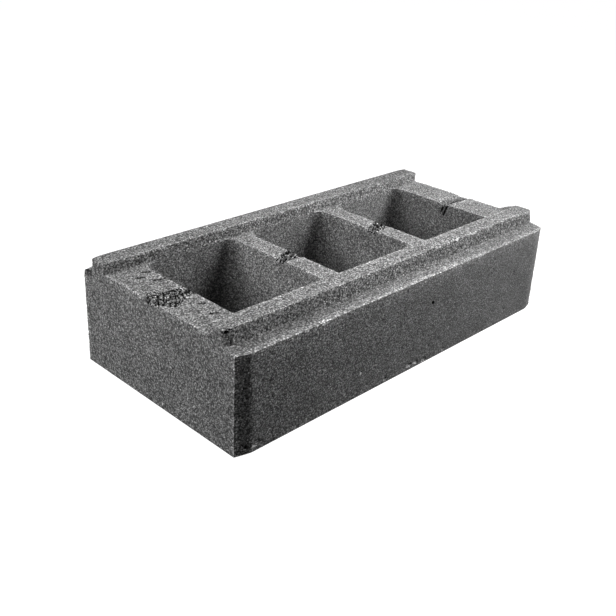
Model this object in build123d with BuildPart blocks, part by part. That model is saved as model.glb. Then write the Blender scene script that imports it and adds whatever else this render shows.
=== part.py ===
"""Hollow concrete fence block, pressed and vibrated in a mould as one piece.

Origin in the middle of the bed, X along the block, Y across it, Z up. Millimetres.
"""
import os

from build123d import *

# Overall size, measured over the bed and up to the ridge tops
block_length = 500
block_width = 250
block_height = 125

# Ledge along each long face, below the ridge tops and falling a little towards the face
ledge_width = 18
ledge_drop = 16.5
ledge_fall = 2.5

# Ridge inside each ledge: the next course stands on its top
ridge_thickness = 26
ridge_draft = 8.5

# Shallow bevel that takes each long side in at the block's ends, blended softly into the side
face_bevel_run = 16.5
face_bevel_depth = 4.75
ridge_bevel_run = 9
ridge_bevel_depth = 2.5
bevel_blend_radius = 25

# Cells left by the mould's cores, and the cross webs between them
cell_count = 3
end_web = 45
cross_web = 25
web_drop = 11.5
cell_corner_radius = 16
core_taper = 1

# Track across the web tops under the bar that carries the cores
bar_track_width = 22
bar_track_depth = 2

# Arris left along the ridge tops
arris_radius = 1

ledge_height = block_height - ledge_drop
web_height = block_height - web_drop
cell_length = (block_length - 2 * end_web - (cell_count - 1) * cross_web) / cell_count
cell_width = block_width - 2 * (ledge_width + ridge_thickness)
ridge_span = block_width - 2 * ledge_width


def plan_outline(width, bevel_run, bevel_depth):
    """Outline of the block's length whose two long sides are bevelled in at both ends."""
    side = width / 2
    end = block_length / 2
    with BuildSketch() as outline:
        with BuildLine():
            FilletPolyline(
                (0, side),
                (end - bevel_run, side),
                (end, side - bevel_depth),
                radius=bevel_blend_radius,
            )
            Line((end, side - bevel_depth), (end, 0))
            mirror(about=Plane.XZ)
            mirror(about=Plane.YZ)
        make_face()
    return outline.sketch


with BuildPart() as fence_block:
    # Body up to the foot of the ridges
    with BuildSketch():
        add(plan_outline(block_width, face_bevel_run, face_bevel_depth))
    extrude(amount=ledge_height)

    # Raised part between the ledges, its long sides drafted so that the tamper head lifts off
    with BuildSketch(Plane.XY.offset(ledge_height)):
        add(plan_outline(ridge_span, ridge_bevel_run, ridge_bevel_depth))
    extrude(amount=ledge_drop)
    upright_sides = fence_block.faces(Select.LAST).filter_by(Axis.Z, reverse=True)
    ridge_flanks = upright_sides.filter_by(Axis.X, reverse=True)
    draft(ridge_flanks, neutral_plane=Plane.XY.offset(ledge_height), angle=ridge_draft)

    # Fall of the ledges
    with BuildSketch(Plane.YZ):
        with BuildLine():
            Polyline(
                (block_width / 2, ledge_height),
                (ridge_span / 2, ledge_height),
                (block_width / 2, ledge_height - ledge_fall),
                close=True,
            )
        make_face()
        mirror(about=Plane.YZ)
    extrude(amount=block_length / 2, both=True, mode=Mode.SUBTRACT)

    # Channel over the webs, between the two ridges, widening upwards by the same draft
    with BuildSketch(Plane.XY.offset(web_height)):
        Rectangle(block_length, cell_width)
    extrude(amount=web_drop, taper=-ridge_draft, mode=Mode.SUBTRACT)

    # Through cells, narrower towards the bed so that the cores pull out upwards
    with BuildSketch(Plane.XY.offset(web_height)):
        with GridLocations(cell_length + cross_web, 0, cell_count, 1):
            RectangleRounded(cell_length, cell_width, cell_corner_radius)
    extrude(amount=-web_height, taper=core_taper, mode=Mode.SUBTRACT)

    # Shallow trough of the core bar's track across every web
    with BuildSketch(Plane.YZ):
        with BuildLine():
            SagittaArc(
                (-bar_track_width / 2, web_height),
                (bar_track_width / 2, web_height),
                -bar_track_depth,
            )
            Line((bar_track_width / 2, web_height), (-bar_track_width / 2, web_height))
        make_face()
    extrude(amount=block_length / 2, both=True, mode=Mode.SUBTRACT)

    # Arrises along the ridge tops
    ridge_edges = fence_block.edges().filter_by(Axis.X).group_by(Axis.Z)[-1]
    fillet(ridge_edges, radius=arris_radius)

fence_block.part.label = "fence_block"

os.makedirs("parts", exist_ok=True)
export_step(fence_block.part, "parts/fence_block.step")
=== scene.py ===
import math

import bmesh
import bpy
import numpy as np
from mathutils import Matrix, Vector
from mathutils.kdtree import KDTree


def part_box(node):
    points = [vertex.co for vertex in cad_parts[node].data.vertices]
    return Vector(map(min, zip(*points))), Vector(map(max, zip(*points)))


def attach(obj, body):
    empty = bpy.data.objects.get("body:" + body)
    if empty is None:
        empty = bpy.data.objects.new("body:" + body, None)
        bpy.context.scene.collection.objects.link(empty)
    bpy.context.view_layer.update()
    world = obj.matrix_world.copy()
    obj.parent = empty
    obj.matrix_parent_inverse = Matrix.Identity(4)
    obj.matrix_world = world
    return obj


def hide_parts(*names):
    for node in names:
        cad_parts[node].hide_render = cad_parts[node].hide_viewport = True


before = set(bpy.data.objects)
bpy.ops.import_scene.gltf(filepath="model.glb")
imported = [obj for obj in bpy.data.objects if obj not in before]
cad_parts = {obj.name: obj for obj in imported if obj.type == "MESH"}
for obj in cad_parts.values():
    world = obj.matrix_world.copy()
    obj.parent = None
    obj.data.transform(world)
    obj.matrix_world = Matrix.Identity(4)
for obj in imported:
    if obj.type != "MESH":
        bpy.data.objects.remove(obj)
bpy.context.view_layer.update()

# The block
# One piece of dry, dark grey concrete, pressed and shaken in a steel mould that stands on a flat pallet.
# Steel cores leave the three cells, and the tamper head that presses from above leaves a ridge and a ledge
# along each long side. All sizes are in metres, and the outer ones come from the frame.
block_low, block_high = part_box("fence_block")
block_length, block_width, block_height = block_high - block_low

ledge_width = 0.018
ledge_drop = 0.0165
ledge_fall = 0.0025
ridge_thickness = 0.026
ridge_draft = math.radians(8.5)
web_drop = 0.0115

ledge_height = block_height - ledge_drop
web_height = block_height - web_drop
ridge_foot = block_width / 2 - ledge_width
ridge_inside = ridge_foot - ridge_thickness

# Bevels at the ends of the long sides and of the ridges: run and depth, and the radius that blends them in
face_bevel = (0.0165, 0.00475)
ridge_bevel = (0.009, 0.0025)
bevel_blend = 0.025
blend_cuts = 4

cell_spacing = 0.145
cell_length = 0.120
cell_corner = 0.016
cell_corner_segments = 8
core_taper = math.radians(1)

track_half_width = 0.011
track_depth = 0.002
track_facets = 96

# How near counts as on a line, and how far cutters reach past what they cut
on_line = 0.0001
overshoot = 0.010


def pick(piece, kind, wanted):
    """Selects the faces, edges or corners of a piece in edit mode whose middle passes a test."""
    bpy.ops.mesh.select_mode(type=kind)
    bpy.ops.mesh.select_all(action="DESELECT")
    mesh = bmesh.from_edit_mesh(piece.data)
    for part in {"FACE": mesh.faces, "EDGE": mesh.edges, "VERT": mesh.verts}[kind]:
        corners = [part] if kind == "VERT" else part.verts
        part.select_set(wanted(sum((corner.co for corner in corners), Vector()) / len(corners)))
    mesh.select_flush_mode()
    bmesh.update_edit_mesh(piece.data)


def cut(place, across):
    """Cuts all of the mesh being edited with a plane through a place, and keeps both sides."""
    bpy.ops.mesh.select_all(action="SELECT")
    bpy.ops.mesh.bisect(plane_co=place, plane_no=across)


def apply_modifier(piece, kind, **settings):
    """Adds a modifier with its settings to a piece and applies it."""
    modifier = piece.modifiers.new(kind.lower(), kind)
    for name, value in settings.items():
        setattr(modifier, name, value)
    bpy.context.view_layer.objects.active = piece
    bpy.ops.object.modifier_apply(modifier=modifier.name)


def drawn_in(past, run, depth):
    """How far a long side is drawn in at a distance past the corner where its bevel starts."""
    turn = math.atan2(depth, run)
    past_tangent = past + bevel_blend * math.tan(turn / 2)
    if past_tangent < bevel_blend * math.sin(turn):
        return bevel_blend - math.sqrt(bevel_blend ** 2 - max(past_tangent, 0) ** 2)
    return past * math.tan(turn)


# Body up to the ledges, with its length marked off for the ridges and for the bevelled ends
bpy.ops.object.select_all(action="DESELECT")
bpy.ops.mesh.primitive_cube_add(size=1, location=(0, 0, ledge_height / 2))
block = bpy.context.object
block.name = "cast_block"
block.scale = (block_length, block_width, ledge_height)
bpy.ops.object.transform_apply(location=True, rotation=True, scale=True)
bpy.ops.object.mode_set(mode="EDIT")
for end in (-1, 1):
    for line in (ridge_foot, ridge_inside):
        cut((0, end * line, 0), (0, 1, 0))
    for run, depth in (face_bevel, ridge_bevel):
        turn = math.atan2(depth, run)
        tangent = block_length / 2 - run - bevel_blend * math.tan(turn / 2)
        for step in range(blend_cuts + 1):
            cut((end * (tangent + bevel_blend * math.sin(turn) * step / blend_cuts), 0, 0), (1, 0, 0))

# Webs and then ridges raised out of the top
pick(block, "FACE", lambda middle: middle.z > ledge_height - on_line and abs(middle.y) < ridge_foot)
bpy.ops.mesh.extrude_region_move(TRANSFORM_OT_translate={"value": (0, 0, web_height - ledge_height)})
pick(block, "FACE", lambda middle: middle.z > web_height - on_line and abs(middle.y) > ridge_inside)
bpy.ops.mesh.extrude_region_move(TRANSFORM_OT_translate={"value": (0, 0, block_height - web_height)})

# Draft of the ridges' outer and inner sides, and the fall of the ledges
for line, foot, height, way in (
    (ridge_foot, ledge_height, web_height, -1),
    (ridge_foot, ledge_height, block_height, -1),
    (ridge_inside, web_height, block_height, 1),
):
    lean = way * (height - foot) * math.tan(ridge_draft)
    pick(
        block,
        "VERT",
        lambda corner: abs(corner.z - height) < on_line and abs(abs(corner.y) - line) < on_line,
    )
    bpy.ops.transform.resize(value=(1, 1 + lean / line, 1), center_override=(0, 0, 0))
pick(
    block,
    "VERT",
    lambda corner: abs(corner.z - ledge_height) < on_line and abs(corner.y) > ridge_foot + on_line,
)
bpy.ops.transform.translate(value=(0, 0, -ledge_fall))

# Long sides and ridges drawn in along their bevels at both ends
mesh = bmesh.from_edit_mesh(block.data)
for corner in mesh.verts:
    if abs(corner.co.y) > ridge_foot + on_line:
        run, depth = face_bevel
    elif abs(corner.co.y) > (ridge_inside + ridge_foot) / 2:
        run, depth = ridge_bevel
    else:
        continue
    past = abs(corner.co.x) - (block_length / 2 - run)
    corner.co.y -= math.copysign(drawn_in(past, run, depth), corner.co.y)
bmesh.update_edit_mesh(block.data)
bpy.ops.object.mode_set(mode="OBJECT")

# Cells cut out by their cores, which are rounded at the corners and narrower towards the bed
for place in (-cell_spacing, 0, cell_spacing):
    core_height = web_height + overshoot
    core_middle = web_height - core_height / 2
    bpy.ops.object.select_all(action="DESELECT")
    bpy.ops.mesh.primitive_cube_add(size=1, location=(place, 0, core_middle))
    core = bpy.context.object
    core.scale = (cell_length, 2 * ridge_inside, core_height)
    bpy.ops.object.transform_apply(location=True, rotation=True, scale=True)
    bpy.ops.object.mode_set(mode="EDIT")
    pick(core, "VERT", lambda corner: corner.z < 0)
    narrowing = 2 * core_height * math.tan(core_taper)
    shrink = (1 - narrowing / cell_length, 1 - narrowing / (2 * ridge_inside), 1)
    bpy.ops.transform.resize(value=shrink, center_override=(place, 0, 0))
    pick(core, "EDGE", lambda middle: abs(middle.z - core_middle) < on_line)
    bpy.ops.mesh.bevel(offset=cell_corner, segments=cell_corner_segments, affect="EDGES")
    pick(core, "FACE", lambda middle: middle.z > web_height - on_line)
    bpy.ops.transform.translate(value=(0, 0, on_line))
    bpy.ops.object.mode_set(mode="OBJECT")
    apply_modifier(block, "BOOLEAN", operation="DIFFERENCE", solver="EXACT", object=core)
    bpy.data.objects.remove(core)

# Trough under the bar that carries the cores, across every web
track_radius = (track_half_width ** 2 + track_depth ** 2) / (2 * track_depth)
bpy.ops.object.select_all(action="DESELECT")
bpy.ops.mesh.primitive_cylinder_add(
    vertices=track_facets,
    radius=track_radius,
    depth=block_length + 2 * overshoot,
    location=(0, 0, web_height - track_depth + track_radius),
    rotation=(0, math.pi / 2, 0),
)
bar = bpy.context.object
apply_modifier(block, "BOOLEAN", operation="DIFFERENCE", solver="EXACT", object=bar)
bpy.data.objects.remove(bar)

# Slump of fresh concrete left in the corner between the right end web and the front ridge
slump_size = Vector((0.030, 0.028, 0.011))
slump_root = 0.003
slump_shelf = 0.001
slump_brow = -ridge_inside + slump_shelf
slump_corner = Vector((block_length / 2, -ridge_inside - slump_root, web_height - slump_root))
slump_box = slump_size + Vector((0, 0, slump_root))
bpy.ops.object.select_all(action="DESELECT")
slump_middle = slump_corner + slump_box * 0.5 - Vector((slump_box.x, 0, 0))
bpy.ops.mesh.primitive_cube_add(size=1, location=slump_middle)
slump = bpy.context.object
slump.scale = slump_box
bpy.ops.object.transform_apply(location=True, rotation=True, scale=True)
bpy.ops.object.mode_set(mode="EDIT")
cut((0, slump_brow, 0), (0, 1, 0))
pick(
    slump,
    "VERT",
    lambda corner: corner.z > web_height
    and (corner.x < block_length / 2 - on_line or corner.y > slump_brow + on_line),
)
bpy.ops.transform.translate(value=(0, 0, -slump_size.z - on_line))
bpy.ops.object.mode_set(mode="OBJECT")
apply_modifier(block, "BOOLEAN", operation="UNION", solver="EXACT", object=slump)
bpy.data.objects.remove(slump)

# Points along the arrises, kept before the surface is made fine, to know where the block is worn
arris_angle = math.radians(20)
arris_step = 0.002
mesh = bmesh.new()
mesh.from_mesh(block.data)
arris_points = []
for edge in mesh.edges:
    if len(edge.link_faces) == 2 and edge.is_convex and edge.calc_face_angle() > arris_angle:
        start, end = (corner.co for corner in edge.verts)
        count = max(int((end - start).length / arris_step), 1)
        arris_points += [start.lerp(end, index / count) for index in range(count + 1)]
mesh.free()
arrises = KDTree(len(arris_points))
for index, point in enumerate(arris_points):
    arrises.insert(point, index)
arrises.balance()

# Fine even mesh to carry the relief, with the edges kept sharp and its double points merged
mesh_size = 0.0014
mesh_depth = 9
double_gap = 0.00002
apply_modifier(
    block,
    "REMESH",
    mode="SHARP",
    octree_depth=mesh_depth,
    scale=block_length / (mesh_size * 2 ** mesh_depth),
    sharpness=1,
)
bpy.ops.object.mode_set(mode="EDIT")
bpy.ops.mesh.select_all(action="SELECT")
bpy.ops.mesh.remove_doubles(threshold=double_gap)
bpy.ops.object.mode_set(mode="OBJECT")


def read_points(kind):
    """The places or the normals of the block's points, one row each."""
    values = np.empty(len(block.data.vertices) * 3)
    block.data.vertices.foreach_get(kind, values)
    return values.reshape(-1, 3)


def band(values, low, high, soft):
    """1 where the values lie between two limits, falling to 0 over a soft margin outside them."""
    return np.clip(np.minimum(values - low, high - values) / soft + 1, 0, 1)


least_weight = 0.02
dent_slope = 1.5


def mark(name, weights):
    """Keeps a weight for each point of the block as a vertex group."""
    group = block.vertex_groups.new(name=name)
    for index in np.flatnonzero(weights > least_weight):
        group.add([int(index)], float(weights[index]), "REPLACE")


def dents(places, spots):
    """Weights of dents that each have a start, an end, a reach and a depth, and the deepest one's depth."""
    deepest = max(depth for start, end, reach, depth in spots)
    weights = np.zeros(len(places))
    for start, end, reach, depth in spots:
        line = np.subtract(end, start)
        share = np.clip((places - start) @ line / max(line @ line, on_line ** 2), 0, 1)
        distance = np.linalg.norm(places - start - share[:, None] * line, axis=1)
        dent = np.clip(dent_slope - dent_slope * distance / reach, 0, 1)
        weights = np.maximum(weights, dent * depth / deepest)
    return weights, deepest


# Rough track on each web: its stretch along the block, its front and rear edges along it, and roughness.
# It reaches a little below the web tops, and its edges are soft.
track_reach = 0.003
track_edge_soft = 0.003
track_end_soft = 0.001
track_places = (
    ((-0.250, -0.204), (-0.003, -0.019, -0.014, -0.007, -0.003), (0.010, 0.020, 0.011, 0.010, 0.008), 1.0),
    ((-0.085, -0.060), (-0.005, -0.004, -0.005), (0.003, 0.008, 0.011), 0.75),
    ((0.060, 0.085), (-0.008, -0.010, -0.007), (-0.001, 0.006, 0.009), 1.0),
    ((0.205, 0.250), (-0.009, -0.005), (0.007, 0.003), 0.2),
)


def rough_tracks(places):
    """How rough each point is with the crumbs and holes that the core bar left across the webs."""
    along, side, up = places.T
    near_top = band(up, web_height - track_reach, web_height, track_end_soft)
    rough = np.zeros(len(places))
    for stretch, front_edge, rear_edge, amount in track_places:
        front = np.interp(along, np.linspace(*stretch, len(front_edge)), front_edge)
        rear = np.interp(along, np.linspace(*stretch, len(rear_edge)), rear_edge)
        inside = band(along, *stretch, track_end_soft) * band(side, front, rear, track_edge_soft)
        rough = np.maximum(rough, inside * near_top * amount)
    return rough


# Pits and scars, which the material paints dark with the shade they hold: from where to where, reach and
# depth
scars = (
    ((-0.2455, -0.1035, 0.1217), (-0.2440, -0.1035, 0.1217), 0.0022, 0.0020),
    ((0.030, -0.125, 0.072), (0.030, -0.125, 0.072), 0.0025, 0.0030),
    ((0.205, -0.0025, 0.1135), (0.205, 0.0010, 0.1025), 0.0019, 0.0022),
    ((0.205, -0.0075, 0.1135), (0.205, -0.0025, 0.0980), 0.0019, 0.0022),
    ((0.207, -0.003, 0.1117), (0.232, -0.003, 0.1117), 0.0016, 0.0022),
    ((0.232, -0.003, 0.1117), (0.250, -0.006, 0.1117), 0.0019, 0.0026),
    ((-0.217, 0.065, 0.1135), (-0.208, 0.061, 0.1135), 0.0018, 0.0030),
    ((-0.229, 0.056, 0.1135), (-0.222, 0.053, 0.1135), 0.0018, 0.0030),
    ((-0.218, 0.041, 0.1135), (-0.207, 0.038, 0.1135), 0.0018, 0.0030),
    ((-0.218, -0.0275, 0.1135), (-0.212, -0.032, 0.1135), 0.0017, 0.0026),
    ((-0.221, -0.0525, 0.1135), (-0.215, -0.055, 0.1135), 0.0018, 0.0030),
    ((-0.222, -0.0660, 0.1135), (-0.218, -0.068, 0.1135), 0.0017, 0.0026),
)

# Fresh chips, paler than the skin: from where to where, reach and depth
chips = (
    ((0.058, -0.104, 0.125), (0.062, -0.104, 0.125), 0.003, 0.0010),
    ((0.090, -0.104, 0.125), (0.096, -0.104, 0.125), 0.003, 0.0012),
    ((0.122, -0.104, 0.125), (0.126, -0.104, 0.125), 0.003, 0.0010),
    ((-0.166, -0.125, 0.106), (-0.162, -0.125, 0.106), 0.003, 0.0009),
    ((-0.151, -0.125, 0.106), (-0.151, -0.125, 0.106), 0.003, 0.0009),
    ((-0.142, -0.125, 0.106), (-0.138, -0.125, 0.106), 0.003, 0.0009),
    ((0.111, -0.125, 0.106), (0.115, -0.125, 0.106), 0.003, 0.0009),
    ((0.169, -0.125, 0.106), (0.169, -0.125, 0.106), 0.003, 0.0007),
    ((-0.229, -0.125, 0.007), (-0.225, -0.125, 0.009), 0.0024, 0.0014),
    ((-0.239, -0.123, 0.007), (-0.239, -0.123, 0.007), 0.0024, 0.0014),
    ((-0.250, -0.0097, 0.0055), (-0.250, -0.0097, 0.0055), 0.0028, 0.0014),
    ((-0.083, -0.125, 0.0275), (-0.083, -0.125, 0.0275), 0.0024, 0.0010),
    ((-0.072, -0.125, 0.0085), (-0.072, -0.125, 0.0085), 0.0024, 0.0010),
    ((-0.0424, -0.125, 0.0045), (-0.0424, -0.125, 0.0045), 0.0026, 0.0012),
    ((-0.004, -0.125, 0.0060), (0.000, -0.125, 0.0050), 0.0026, 0.0014),
    ((0.007, -0.125, 0.0060), (0.011, -0.125, 0.0050), 0.0026, 0.0012),
    ((0.023, -0.125, 0.0030), (0.026, -0.125, 0.0030), 0.0026, 0.0014),
    ((0.060, -0.125, 0.0035), (0.060, -0.125, 0.0035), 0.0024, 0.0012),
)

# Ends worn round: the right end of the front ridge, the rear right corner of the channel, the left end of
# the front ridge and that of the rear ledge, each from where to where, its reach and amount
worn_ends = (
    ((0.250, -0.078, 0.125), (0.236, -0.080, 0.125), 0.009, 1.0),
    ((0.250, -0.080, 0.125), (0.250, -0.104, 0.125), 0.010, 1.0),
    ((0.250, -0.104, 0.125), (0.228, -0.105, 0.125), 0.008, 1.0),
    ((0.250, 0.082, 0.1135), (0.240, 0.082, 0.1135), 0.008, 1.0),
    ((-0.250, -0.1045, 0.111), (-0.250, -0.102, 0.124), 0.006, 1.0),
    ((-0.250, 0.108, 0.108), (-0.250, 0.1205, 0.106), 0.005, 1.0),
)

# Lump of paste on the rear ledge's left end, painted dark as shade: from where to where, reach and height
lumps = (
    ((-0.250, 0.108, 0.1075), (-0.250, 0.118, 0.1060), 0.0055, 0.0025),
)

# Finer mesh where the surface is broken, and finer again in the tracks and scars
for broken_places in ((scars, chips, worn_ends), (scars,)):
    places = read_points("co")
    broken = rough_tracks(places)
    for spots in broken_places:
        broken = np.maximum(broken, dents(places, spots)[0])
    broken = broken > least_weight
    bpy.ops.object.mode_set(mode="EDIT")
    bpy.ops.mesh.select_mode(type="FACE")
    bpy.ops.mesh.select_all(action="DESELECT")
    mesh = bmesh.from_edit_mesh(block.data)
    for face in mesh.faces:
        face.select_set(any(broken[corner.index] for corner in face.verts))
    bmesh.update_edit_mesh(block.data)
    bpy.ops.mesh.subdivide(number_cuts=1)
    bpy.ops.object.mode_set(mode="OBJECT")

places = read_points("co")
normals = read_points("normal")
along, side, up = places.T
across = np.abs(side)

# How near a point lies to a surface to be on it, how far down a ridge's top reaches, how far in its side
# reaches, and how squarely a surface faces one way to count as facing it
margin = 0.001
top_reach = 0.004
side_reach = 0.004
squarely = 0.5


def along_block(*stops):
    """An amount for each point that changes along the block between stops, each a place and an amount."""
    return np.interp(along, *zip(*stops))


# Outer faces and the upper part of the cells carry the grain. The bed and the foot of the cells are smooth,
# and so is the rear edge of the rear ridge.
cell_grain_depth = 0.060
grain_fade = 1.5
rear_rim_width = 0.006
in_cells = (across < ridge_inside + margin) & (np.abs(along) < cell_spacing + cell_length / 2 + margin)
upright = np.clip(2 - 3 * np.abs(normals[:, 2]), 0, 1)
cell_wall = in_cells * upright * (up < web_height - margin)
cell_grain = np.clip(grain_fade - grain_fade * (web_height - up) / cell_grain_depth, 0, 1)
grainy = np.where(in_cells, cell_grain, 1)
grainy *= up > on_line
ridge_top = up > block_height - top_reach
rear_rim = band(side, ridge_foot - rear_rim_width, ridge_foot, margin) * ridge_top
mark("grainy", grainy * (1 - rear_rim))

# Faces pressed by the tamper head, and the ends that rubbed along the mould as it was lifted
ledge_ease = 0.4
end_rubbing = 0.3
tamped = np.clip(normals[:, 2] * 2 - 1, 0, 1) * (up > ledge_height - ledge_fall - margin)
on_ledge = tamped * (across > ridge_foot - margin) * (up < ledge_height + margin)
on_ridge = tamped * ridge_top
on_web = tamped - on_ledge - on_ridge
ends = np.clip(np.abs(normals[:, 0]) * 2 - 1, 0, 1) * (np.abs(along) > block_length / 2 - on_line)
mark("tamped", np.maximum(tamped - ledge_ease * on_ledge, ends * end_rubbing) * (1 - rear_rim))

# Arrises, the sides of the ridges, the top edge of the front ridge's outer side, and the cell walls
arris_reach = 0.003
ridge_edge_inset = 0.010
arris_distance = np.array([arrises.find(place)[2] for place in places])
arris = np.clip(1 - arris_distance / arris_reach, 0, 1) * grainy
mark("arris", arris * (1 - rear_rim))

ridge_side = upright * (up > ledge_height + margin / 2) * (across > ridge_inside - margin)
ridge_side *= np.abs(normals[:, 1]) > squarely
flank = ridge_side * (across > ridge_foot - side_reach) * along_block((-0.25, 1), (0, 0.9), (0.25, 0.8))
mark("flank", flank)
mark("ridge_edge", arris * (side < -ridge_inside - ridge_edge_inset) * ridge_top)
mark("cell_wall", cell_wall * grainy)

# Single places that are broken, worn or raised. The tracks, scars and chips keep their fine mesh.
chip_spread = 3
rough = rough_tracks(places)
mark("track", rough)
scarred, deepest_scar = dents(places, scars)
mark("scarred", scarred)
chipped, deepest_chip = dents(places, chips)
mark("chipped", chipped)
mark("kept_fine", np.maximum.reduce((rough, scarred, np.clip(chipped * chip_spread, 0, 1))))
mark("worn", dents(places, worn_ends)[0])
lumped, highest_lump = dents(places, lumps)
mark("lumped", lumped * np.clip(normals[:, 2] * 2, 0, 1))


def clouds(name, size, low, high, basis="BLENDER_ORIGINAL", finer_rounds=1):
    """A pattern of spots of about a size, 0 where its noise is under one level and 1 over another."""
    pattern = bpy.data.textures.new(name, "CLOUDS")
    pattern.noise_scale = size
    pattern.noise_basis = basis
    pattern.noise_depth = finer_rounds
    pattern.use_color_ramp = True
    pattern.color_ramp.elements[0].position = low
    pattern.color_ramp.elements[0].color = (0, 0, 0, 1)
    pattern.color_ramp.elements[1].position = high
    pattern.color_ramp.elements[1].color = (1, 1, 1, 1)
    return pattern


def sink(pattern, depth, where):
    """Moves the block's surface inwards by up to a depth where a pattern and a vertex group say."""
    apply_modifier(
        block,
        "DISPLACE",
        texture=pattern,
        texture_coords="LOCAL",
        mid_level=0,
        strength=-depth,
        vertex_group=where,
    )


def paint(name, values):
    """Keeps a value for each point of the block for the material to read."""
    attribute = block.data.attributes.new(name, "FLOAT", "POINT")
    attribute.data.foreach_set("value", np.ascontiguousarray(values, dtype=np.float32))


# Each pattern has the size of its spots and two levels of its noise. It is sunk by a depth in one of the
# vertex groups, or raised there if the depth is below 0.
sink(clouds("pressed_grain", 0.0026, 0.1, 0.9), 0.0002, "grainy")
sink(clouds("open_pores", 0.0030, 0.76, 0.86), 0.0008, "grainy")
sink(clouds("tamped_grain", 0.0026, 0.30, 0.80), 0.0005, "tamped")
sink(clouds("flank_tears", 0.0026, 0.40, 0.80), 0.0004, "flank")
sink(clouds("flank_pits", 0.0024, 0.68, 0.78), 0.0010, "flank")
sink(clouds("core_drag", 0.0028, 0.45, 0.80), 0.0003, "cell_wall")
sink(clouds("track_gaps", 0.0025, 0.43, 0.51, "VORONOI_F1", 0), 0.0024, "track")
sink(clouds("track_crumbs", 0.0022, 0.58, 0.68), -0.0010, "track")
sink(clouds("scar_floors", 0.0030, -0.4, 0.5), deepest_scar, "scarred")
sink(clouds("lump_tops", 0.0040, -0.4, 0.5), -highest_lump, "lumped")
sunk = np.einsum("ij,ij->i", places - read_points("co"), normals)
sink(clouds("arris_crumbling", 0.0040, 0.30, 0.90), 0.0006, "arris")
sink(clouds("ridge_crumbling", 0.0036, 0.50, 0.75), 0.0005, "ridge_edge")
sink(clouds("chip_faces", 0.0040, -0.4, 0.6), deepest_chip, "chipped")
wear_rounds = 60
apply_modifier(block, "SMOOTH", factor=0.5, iterations=wear_rounds, vertex_group="worn")

# How deep the pits are, against a depth that is less in the tracks, for the shade painted in them, and how
# open the grain is on each surface
full_pit = 0.0022
full_track_pit = 0.0010
paint("sunk", np.clip(sunk / (full_pit + rough * (full_track_pit - full_pit)), 0, 1))
open_grain = along_block((-0.25, 1.0), (0, 0.66), (0.25, 0.42))
for face, face_grain in (
    (on_ledge, 0.85),
    (on_ridge, 1),
    (on_web, 1),
    (ends, 0.85),
    (ridge_side, 1),
    (cell_wall, 0.85),
):
    open_grain += (face_grain * along_block((0, 1), (0.25, 0.85)) - open_grain) * face
paint("open_grain", open_grain)

# Lighter, over 0, or darker, under 0, partly the skin's tone and partly painted light and shade: first the
# faces pressed from above
ledge_painted_shade = 0.14
ridge_top_tone = 0.08
front_web_tone = 0.05
rear_web_tone = np.interp(np.abs(along), (0.1, 0.2), (-0.02, 0.03))
# Tops lighter in the middle of the block and darker towards both ends
tone_and_painted_light = tamped * along_block((-0.25, -0.17), (-0.05, 0.07), (0.05, 0.06), (0.25, -0.18))
tone_and_painted_light += on_web * np.where(side < 0, front_web_tone, rear_web_tone)
# Front ridge top lighter and rear one darker, and the ledges painted darker with the shade the ridges cast
tone_and_painted_light += on_ridge * np.where(side < 0, ridge_top_tone, -ridge_top_tone) - on_ledge * ledge_painted_shade
# Webs lighter and ridge tops darker towards the right end
tone_and_painted_light += (on_web - on_ridge) * along_block((0.05, 0), (0.25, 0.08))

# Painted light on the rims of the ledges and the tops of the long faces, painted light and shade on their
# bevelled left ends, and the arrises
ledge_rim_width = 0.014
face_inset = 0.006
face_top_reach = 0.025
face_top_painted_light = 0.25
dry_arris_reach = 0.006
arris_dry = 0.2
rear_rim_darkening = 0.4
face_top = ledge_height - ledge_fall
# The ledges painted lighter towards their rims, where light reaches past the ridges' shade
ledge_rim = np.clip(1 - (block_width / 2 - across) / ledge_rim_width, 0, 1) * on_ledge
tone_and_painted_light += ledge_rim * along_block((-0.25, 0.1), (-0.20, 0.2), (-0.15, 0.38), (0.06, 0.34), (0.15, 0.1))
on_face = band(across, block_width / 2 - face_inset, block_width / 2, margin / 2)
# Painted light on the tops of the long faces, fading over 25 mm downwards
tone_and_painted_light += on_face * band(up, face_top, face_top, face_top_reach) * face_top_painted_light
dry_arris = np.clip(1 - arris_distance / dry_arris_reach, 0, 1) * grainy
# Arrises paler where rubbed, and darker along the rear edge of the rear ridge
tone_and_painted_light += dry_arris * (arris_dry - rear_rim_darkening * rear_rim)
face_ends = (across > block_width / 2 - face_inset) * (up < face_top)
# Painted light at the left corners of the long faces, and painted shade along their bevels just behind them
tone_and_painted_light += face_ends * along_block((-0.249, 0.35), (-0.245, 0), (-0.238, -0.25), (-0.230, 0))

# Ends lighter, a painted contact shadow along the foot, and the outer sides of the ridges lighter in the
# middle and darker at the ends
end_lightening = 0.06
foot_height = 0.0015
foot_painted_shadow = 0.35
tone_and_painted_light += ends * end_lightening
tone_and_painted_light -= band(up, 0, foot_height, margin) * ~in_cells * foot_painted_shadow
tone_and_painted_light += flank * along_block((-0.25, -0.06), (-0.05, 0.16), (0.15, -0.02), (0.25, -0.06))

# Crumbs that stand out and the tops of the tracks lighter, fresh chips paler, and painted shade on the lump
full_crumb = 0.0010
lump_spread = 2
crumb_lightening = 0.9
chip_dry = 1.8
track_top_lightening = 0.35
lump_painted_shade = 0.9
tone_and_painted_light += np.clip(-sunk / full_crumb, 0, 1) * (1 - lumped) * crumb_lightening + chipped * chip_dry
tone_and_painted_light += rough * np.clip(1 - sunk / full_crumb, 0, 1) * track_top_lightening
tone_and_painted_light -= np.clip(lumped * lump_spread, 0, 1) * lump_painted_shade

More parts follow.
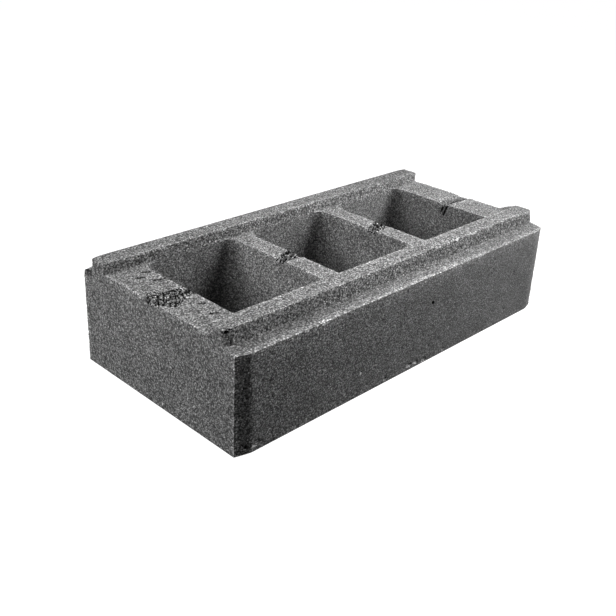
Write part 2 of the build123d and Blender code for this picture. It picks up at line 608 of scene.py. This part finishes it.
# Painted shade on the rear walls of the cells and both sides of the rear ridge, deepest at the left, and on
# its inner side once more
rear_ridge_painted_shade = 0.08
rear_side = (side > ridge_inside - side_reach) * np.maximum(cell_wall, ridge_side)
tone_and_painted_light -= rear_side * along_block((-0.1, 0.22), (-0.05, 0.06), (0.05, 0.06), (0.1, -0.04))
tone_and_painted_light -= (side > 0) * (across < ridge_inside + side_reach) * ridge_side * rear_ridge_painted_shade
# Painted light on the right walls of the cells, turning to painted shade in the right cell
tone_and_painted_light += cell_wall * (normals[:, 0] < -squarely) * along_block((0.1, 0.10), (0.2, -0.06))
paint("tone_and_painted_light", tone_and_painted_light)

# Where edges are rubbed
rubbed_reach = 0.005
paint("rubbed", np.clip(1 - arris_distance / rubbed_reach, 0, 1) * grainy)

# Triangles taken out where the surface is flat, and left in the tracks, scars and chips
most_triangles = 190000
triangles = sum(len(face.vertices) - 2 for face in block.data.polygons)
apply_modifier(
    block,
    "DECIMATE",
    ratio=min(most_triangles / triangles, 1),
    vertex_group="kept_fine",
    invert_vertex_group=True,
    vertex_group_factor=1,
)
block.vertex_groups.clear()
places = np.clip(read_points("co"), block_low, block_high)
block.data.vertices.foreach_set("co", places.ravel())
block.data.update()
smooth_angle = math.radians(40)
bpy.ops.object.select_all(action="DESELECT")
block.select_set(True)
bpy.context.view_layer.objects.active = block
bpy.ops.object.shade_smooth_by_angle(angle=smooth_angle)


def linear(colour):
    """Turns an sRGB hex colour into the linear colour that a shader takes."""
    parts = [int(colour[index:index + 2], 16) / 255 for index in (1, 3, 5)]
    return [p / 12.92 if p <= 0.04045 else ((p + 0.055) / 1.055) ** 2.4 for p in parts] + [1]


def add_node(tree, kind, links=(), **settings):
    """Adds a shader node with its settings, its socket values and the links into it."""
    node = tree.nodes.new("ShaderNode" + kind)
    sockets = settings.pop("sockets", {})
    for name, value in settings.items():
        setattr(node, name, value)
    for name, value in sockets.items():
        node.inputs[name].default_value = value
    for name, source in dict(links).items():
        tree.links.new(source, node.inputs[name])
    return node


# Dry graphite concrete, left matt: pale sand stands apart in a grey paste of dark and light grains. Pits
# are painted dark with the shade they hold, the skin carries painted light and shade, rims and crumbs are
# paler, rubbed edges show pale specks, and a few pale stones lie in the skin. Real grains and sand are too
# fine to show, so they are drawn as coarse as they need to be.
grain_size = 0.00115
sand_size = 0.0020
cloud_size = 0.030
speck_size = 0.0025
stone_spacing = 0.020
stone_size = 0.0011
stone_core = 0.8

concrete = bpy.data.materials.new("graphite_pressed_concrete")
concrete.use_nodes = True
tree = concrete.node_tree
tree.nodes.clear()
block_place = add_node(tree, "TexCoord").outputs["Object"]
grains = add_node(tree, "TexVoronoi", {"Vector": block_place}, sockets={"Scale": 1 / grain_size})
grain_draw = add_node(tree, "SeparateColor", {"Color": grains.outputs["Color"]})
tones = add_node(tree, "ValToRGB", {"Fac": grain_draw.outputs["Red"]})
ramp = tones.color_ramp.elements
ramp[0].color = linear("#3c3c3c")
ramp[1].color = linear("#a6a6a6")
for position, tone in ((0.2, "#5a5a5a"), (0.5, "#6f6f6f"), (0.8, "#858585")):
    ramp.new(position).color = linear(tone)
sand = add_node(tree, "TexVoronoi", {"Vector": block_place}, sockets={"Scale": 1 / sand_size})
sand_shade = add_node(
    tree,
    "MapRange",
    {"Value": sand.outputs["Distance"]},
    sockets={"From Min": 0.2, "From Max": 0.7, "To Min": 2.05, "To Max": 0.42},
)
sandy_tones = add_node(
    tree,
    "Mix",
    {6: tones.outputs["Color"], 7: sand_shade.outputs["Result"]},
    data_type="RGBA",
    blend_type="MULTIPLY",
    sockets={0: 1},
)
openness = add_node(tree, "Attribute", attribute_name="open_grain")
skin = add_node(
    tree,
    "Mix",
    {0: openness.outputs["Fac"], 7: sandy_tones.outputs[2]},
    data_type="RGBA",
    sockets={6: linear("#767676")},
)

clouding = add_node(
    tree,
    "TexNoise",
    {"Vector": block_place},
    sockets={"Scale": 1 / cloud_size, "Detail": 3},
)
cloud_shade = add_node(
    tree,
    "MapRange",
    {"Value": clouding.outputs["Fac"]},
    sockets={"From Min": 0.3, "From Max": 0.7, "To Min": 0.88, "To Max": 1.12},
)
# Painted shade in pits, darker the deeper they are sunk
sunk_depth = add_node(tree, "Attribute", attribute_name="sunk")
pit_shade = add_node(
    tree,
    "MapRange",
    {"Value": sunk_depth.outputs["Fac"]},
    sockets={"From Min": 0.2, "From Max": 0.7, "To Min": 1, "To Max": 0.03},
)
tone_and_light_node = add_node(tree, "Attribute", attribute_name="tone_and_painted_light")

specks = add_node(tree, "TexNoise", {"Vector": block_place}, sockets={"Scale": 1 / speck_size, "Detail": 0})
speck_spots = add_node(
    tree,
    "MapRange",
    {"Value": specks.outputs["Fac"]},
    sockets={"From Min": 0.56, "From Max": 0.66, "To Max": 1.0},
)
rubbing = add_node(tree, "Attribute", attribute_name="rubbed")
rubbed_specks = add_node(
    tree,
    "Math",
    {0: speck_spots.outputs["Result"], 1: rubbing.outputs["Fac"]},
    operation="MULTIPLY",
)
stones = add_node(tree, "TexVoronoi", {"Vector": block_place}, sockets={"Scale": 1 / stone_spacing})
stone_spots = add_node(
    tree,
    "MapRange",
    {"Value": stones.outputs["Distance"]},
    sockets={
        "From Min": stone_size / stone_spacing,
        "From Max": stone_core * stone_size / stone_spacing,
        "To Max": 1.2,
    },
)
# The skin's tone with painted light and shade from the block, plus the rubbed specks and pale stones
paleness_and_painted_light = tone_and_light_node.outputs["Fac"]
for spots in (rubbed_specks.outputs[0], stone_spots.outputs["Result"]):
    paleness_and_painted_light = add_node(tree, "Math", {0: paleness_and_painted_light, 1: spots}, operation="ADD").outputs[0]
shade = add_node(tree, "Math", {0: paleness_and_painted_light}, operation="ADD", sockets={1: 1}).outputs[0]
for factor in (cloud_shade.outputs["Result"], pit_shade.outputs["Result"]):
    shade = add_node(tree, "Math", {0: shade, 1: factor}, operation="MULTIPLY").outputs[0]
paste = add_node(
    tree,
    "Mix",
    {6: skin.outputs[2], 7: shade},
    data_type="RGBA",
    blend_type="MULTIPLY",
    sockets={0: 1},
)
bump = add_node(
    tree,
    "Bump",
    {"Height": grains.outputs["Distance"]},
    invert=True,
    sockets={"Strength": 0.7, "Distance": grain_size / 2},
)
shader = add_node(
    tree,
    "BsdfPrincipled",
    {"Base Color": paste.outputs[2], "Normal": bump.outputs["Normal"]},
    sockets={"Roughness": 0.92, "Specular IOR Level": 0.3},
)
add_node(tree, "OutputMaterial", {"Surface": shader.outputs["BSDF"]})
block.data.materials.append(concrete)

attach(block, "root")
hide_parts("fence_block")

# The floor
# A plain sheet of pale acrylic that lies level under the block, lit from below like a light table.
floor_size = 40
floor_gap = 0.0004
bpy.ops.object.select_all(action="DESELECT")
bpy.ops.mesh.primitive_plane_add(size=floor_size, location=(0, 0, -floor_gap))
floor = bpy.context.object
floor.name = "floor"
acrylic = bpy.data.materials.new("pale_acrylic")
acrylic.use_nodes = True
acrylic_shader = acrylic.node_tree.nodes["Principled BSDF"]
acrylic_shader.inputs["Base Color"].default_value = linear("#707070")
acrylic_shader.inputs["Roughness"].default_value = 0.9
acrylic_shader.inputs["Emission Color"].default_value = linear("#ffffff")
acrylic_shader.inputs["Emission Strength"].default_value = 1.0
floor.data.materials.append(acrylic)
floor.visible_diffuse = False
floor.visible_glossy = False

# The light
# Soft boxes round the block: two stand to its right and a little in front, one is high behind it on the
# right, and two fills stand to its left. Each has a place, a size and a power in watts.
soft_boxes = {
    "right_box": ((0.95, -0.42, 0.60), 0.6, 5.2),
    "right_front_box": ((0.65, -0.47, 0.89), 0.6, 15.6),
    "overhead_box": ((0.80, 0.80, 1.30), 1.0, 8.8),
    "left_fill": ((-0.97, 0.17, 0.69), 0.6, 4.8),
    "left_rear_fill": ((-0.85, 0.49, 0.69), 0.6, 5.8),
}
for name, (place, size, power) in soft_boxes.items():
    light = bpy.data.lights.new(name, "AREA")
    light.size = size
    light.energy = power
    lamp = bpy.data.objects.new(name, light)
    lamp.location = place
    aim = Vector((0, 0, block_height / 2)) - lamp.location
    lamp.rotation_euler = aim.to_track_quat("-Z", "Y").to_euler()
    bpy.context.scene.collection.objects.link(lamp)
world = bpy.data.worlds.new("studio")
bpy.context.scene.world = world
world.use_nodes = True
world.node_tree.nodes["Background"].inputs["Color"].default_value = linear("#ffffff")
world.node_tree.nodes["Background"].inputs["Strength"].default_value = 1.0
world.cycles_visibility.diffuse = False
world.cycles_visibility.glossy = False
bpy.context.scene.view_settings.view_transform = "Standard"

# The camera
# It stands in front of the block's left end, a little above it, as in the photograph.
camera_eye = Vector((-0.68173, -0.62342, 0.48511))
camera_forward = Vector((0.66142, 0.61900, -0.42351)).normalized()
camera_right = Vector((0.69891, -0.71356, 0.04860)).normalized()
camera_up = camera_right.cross(camera_forward)
camera_data = bpy.data.cameras.new("camera")
camera_data.lens = 50.996
camera_data.shift_x = -0.0222
camera_data.shift_y = -0.0326
camera = bpy.data.objects.new("camera", camera_data)
turn = Matrix((camera_right, camera_up, -camera_forward)).transposed()
camera.rotation_euler = turn.to_euler()
camera.location = camera_eye
bpy.context.scene.collection.objects.link(camera)
bpy.context.scene.camera = camera
